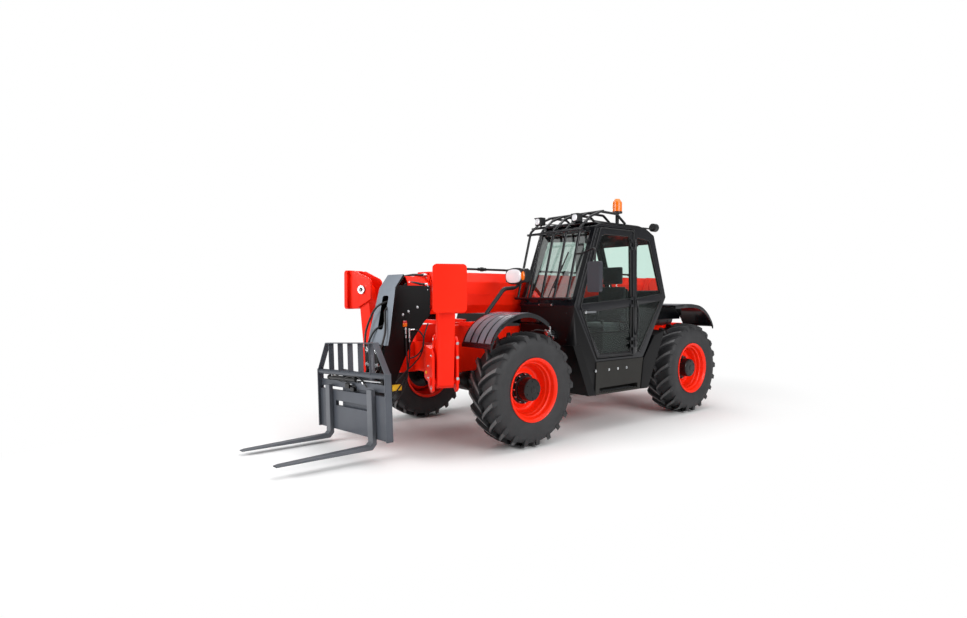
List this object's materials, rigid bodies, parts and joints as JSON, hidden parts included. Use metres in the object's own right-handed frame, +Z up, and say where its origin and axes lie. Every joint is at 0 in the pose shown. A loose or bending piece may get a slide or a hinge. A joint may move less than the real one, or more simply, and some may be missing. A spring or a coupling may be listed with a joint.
{
  "type": "telehandler",
  "caption": "Telescopic handler with a side cab, telescoping boom, pallet fork carriage, front stabilisers and all-wheel steering.",
  "frame": {"origin": "on the ground, centred on the machine's outline in plan", "axes": "+X the machine's left (the cab side), +Y its rear along the boom, +Z up"},
  "size_m": [3.016, 6.31, 2.767],
  "materials": {
    "red_paint": "gloss enamel",
    "black_gloss": "gloss enamel",
    "black_satin": "satin powder coat",
    "black_steel": "satin enamel",
    "dark_steel": "satin grey-black enamel",
    "tyre_rubber": "matt rubber",
    "tinted_glass": "pale green tint",
    "seat_fabric": "woven cloth",
    "black_plastic": "grained",
    "engine_grey": "cast",
    "amber_lens": "clear amber",
    "chrome_rod": "hard chrome"
  },
  "bodies": {
    "chassis": {"chassis_frame": "red_paint", "frame_left_plate": "red_paint", "frame_right_plate": "red_paint", "stabiliser_box": "red_paint", "counterweight": "red_paint", "front_axle": "black_steel", "rear_axle": "black_steel", "drive_shaft": "black_steel", "front_fenders": "black_gloss", "rear_fenders": "black_gloss", "cab_frame": "black_gloss", "cab_windows": "tinted_glass", "cab_roof": "black_gloss", "cab_nose": "black_satin", "side_step": "black_satin", "cab_rear_panel": "black_satin", "cab_guard": "black_gloss", "seat_base": "black_satin", "driver_seat": "seat_fabric", "dashboard": "black_plastic", "steering_wheel": "black_plastic", "engine_bay": "black_satin", "engine_block": "engine_grey", "headlights": "black_plastic", "work_lights": "black_plastic", "beacon": "amber_lens", "left_mirror": "black_plastic", "right_mirror": "black_plastic"},
    "hood": {"engine_hood": "red_paint"},
    "door": {"cab_door": "black_gloss", "door_windows": "tinted_glass"},
    "boom": {"boom_outer": "red_paint"},
    "boom_mid": {"boom_middle": "red_paint"},
    "boom_in": {"boom_inner": "red_paint", "boom_head": "black_steel"},
    "lift_barrel": {"lift_barrel": "black_steel"},
    "lift_rod": {"lift_rod": "chrome_rod"},
    "tilt_barrel": {"tilt_barrel": "black_steel"},
    "tilt_rod": {"tilt_rod": "chrome_rod"},
    "hitch": {"hitch_plate": "dark_steel"},
    "carriage": {"carriage": "dark_steel"},
    "left_fork": {"left_fork": "dark_steel"},
    "right_fork": {"right_fork": "dark_steel"},
    "left_arm": {"left_stabiliser_arm": "red_paint"},
    "right_arm": {"right_stabiliser_arm": "red_paint"},
    "left_shoe": {"left_stabiliser_shoe": "red_paint"},
    "right_shoe": {"right_stabiliser_shoe": "red_paint"},
    "front_left_knuckle": {"front_left_knuckle": "black_steel"},
    "front_left_wheel": {"front_left_wheel": "red_paint", "front_left_tyre": "tyre_rubber"},
    "front_right_knuckle": {"front_right_knuckle": "black_steel"},
    "front_right_wheel": {"front_right_wheel": "red_paint", "front_right_tyre": "tyre_rubber"},
    "rear_left_knuckle": {"rear_left_knuckle": "black_steel"},
    "rear_left_wheel": {"rear_left_wheel": "red_paint", "rear_left_tyre": "tyre_rubber"},
    "rear_right_knuckle": {"rear_right_knuckle": "black_steel"},
    "rear_right_wheel": {"rear_right_wheel": "red_paint", "rear_right_tyre": "tyre_rubber"}
  },
  "joints": [
    {"name": "front_left_steer", "type": "hinge", "parent": "chassis", "child": "front_left_knuckle", "pos_m": [0.78, -0.715, 0.6], "axis": [0, 0, 1], "range_deg": [-28, 28]},
    {"name": "front_left_spin", "type": "hinge", "parent": "front_left_knuckle", "child": "front_left_wheel", "pos_m": [0.98, -0.715, 0.6], "axis": [1, 0, 0], "continuous": true},
    {"name": "front_right_steer", "type": "hinge", "parent": "chassis", "child": "front_right_knuckle", "pos_m": [-0.78, -0.715, 0.6], "axis": [0, 0, 1], "range_deg": [-28, 28]},
    {"name": "front_right_spin", "type": "hinge", "parent": "front_right_knuckle", "child": "front_right_wheel", "pos_m": [-0.98, -0.715, 0.6], "axis": [1, 0, 0], "continuous": true},
    {"name": "rear_left_steer", "type": "hinge", "parent": "chassis", "child": "rear_left_knuckle", "pos_m": [0.78, 2.225, 0.6], "axis": [0, 0, 1], "range_deg": [-28, 28]},
    {"name": "rear_left_spin", "type": "hinge", "parent": "rear_left_knuckle", "child": "rear_left_wheel", "pos_m": [0.98, 2.225, 0.6], "axis": [1, 0, 0], "continuous": true},
    {"name": "rear_right_steer", "type": "hinge", "parent": "chassis", "child": "rear_right_knuckle", "pos_m": [-0.78, 2.225, 0.6], "axis": [0, 0, 1], "range_deg": [-28, 28]},
    {"name": "rear_right_spin", "type": "hinge", "parent": "rear_right_knuckle", "child": "rear_right_wheel", "pos_m": [-0.98, 2.225, 0.6], "axis": [1, 0, 0], "continuous": true},
    {"name": "boom_lift", "type": "hinge", "parent": "chassis", "child": "boom", "pos_m": [0, 2.635, 1.72], "axis": [-1, 0, 0], "range_deg": [0, 65]},
    {"name": "boom_extend", "type": "slide", "parent": "boom", "child": "boom_mid", "axis": [0, -1, 0], "range_m": [0, 2.7]},
    {"name": "boom_extend_inner", "type": "slide", "parent": "boom_mid", "child": "boom_in", "axis": [0, -1, 0], "range_m": [0, 2.7]},
    {"name": "lift_cylinder_swing", "type": "hinge", "parent": "chassis", "child": "lift_barrel", "pos_m": [0, 2.385, 0.8], "axis": [-1, 0, 0], "range_deg": [0, 60]},
    {"name": "lift_cylinder_stroke", "type": "slide", "parent": "lift_barrel", "child": "lift_rod", "axis": [0, -0.9203, 0.3911], "range_m": [0, 0.95]},
    {"name": "carriage_tilt", "type": "hinge", "parent": "boom_in", "child": "hitch", "pos_m": [0, -1.965, 0.42], "axis": [1, 0, 0], "range_deg": [-12, 80]},
    {"name": "tilt_cylinder_swing", "type": "hinge", "parent": "boom_in", "child": "tilt_barrel", "pos_m": [0, -1.54, 1.34], "axis": [1, 0, 0], "range_deg": [-8, 8]},
    {"name": "tilt_cylinder_stroke", "type": "slide", "parent": "tilt_barrel", "child": "tilt_rod", "axis": [0, -0.5818, -0.8133], "range_m": [-0.06, 0.38]},
    {"name": "carriage_sway", "type": "hinge", "parent": "hitch", "child": "carriage", "pos_m": [0, -2.175, 0.3], "axis": [0, -1, 0], "range_deg": [-11.6, 4.4]},
    {"name": "left_fork_slide", "type": "slide", "parent": "carriage", "child": "left_fork", "axis": [0.998, 0, 0.0628], "range_m": [-0.25, 0.19]},
    {"name": "right_fork_slide", "type": "slide", "parent": "carriage", "child": "right_fork", "axis": [-0.998, 0, -0.0628], "range_m": [-0.25, 0.19]},
    {"name": "left_stabiliser_swing", "type": "hinge", "parent": "chassis", "child": "left_arm", "pos_m": [0.72, -1.54, 0.72], "axis": [0.4226, 0.9063, 0], "range_deg": [0, 119]},
    {"name": "left_shoe_swivel", "type": "hinge", "parent": "left_arm", "child": "left_shoe", "pos_m": [0.8081, -1.5811, 1.6449], "axis": [0.4226, 0.9063, 0], "range_deg": [-30, 0]},
    {"name": "right_stabiliser_swing", "type": "hinge", "parent": "chassis", "child": "right_arm", "pos_m": [-0.72, -1.54, 0.72], "axis": [0.4226, -0.9063, 0], "range_deg": [0, 119]},
    {"name": "right_shoe_swivel", "type": "hinge", "parent": "right_arm", "child": "right_shoe", "pos_m": [-0.8081, -1.5811, 1.6449], "axis": [0.4226, -0.9063, 0], "range_deg": [-30, 0]},
    {"name": "door_swing", "type": "hinge", "parent": "chassis", "child": "door", "pos_m": [1.146, 0.982, 1.6], "axis": [0, 0, 1], "range_deg": [0, 100]},
    {"name": "hood_lift", "type": "hinge", "parent": "chassis", "child": "hood", "pos_m": [-0.2653, 0.6, 1.408], "axis": [0, 1, 0], "range_deg": [0, 70]}
  ],
  "couplings": [
    {"joint": "front_right_steer", "follows": "front_left_steer", "ratio": 1},
    {"joint": "rear_right_steer", "follows": "rear_left_steer", "ratio": 1},
    {"joint": "boom_extend_inner", "follows": "boom_extend", "ratio": 1},
    {"joint": "lift_cylinder_swing", "follows": "boom_lift", "ratio": 0.7286},
    {"joint": "lift_cylinder_stroke", "follows": "boom_lift", "m_per_rad": 0.7792},
    {"joint": "tilt_cylinder_swing", "follows": "carriage_tilt", "ratio": -0.05},
    {"joint": "tilt_cylinder_stroke", "follows": "carriage_tilt", "m_per_rad": 0.2504}
  ]
}
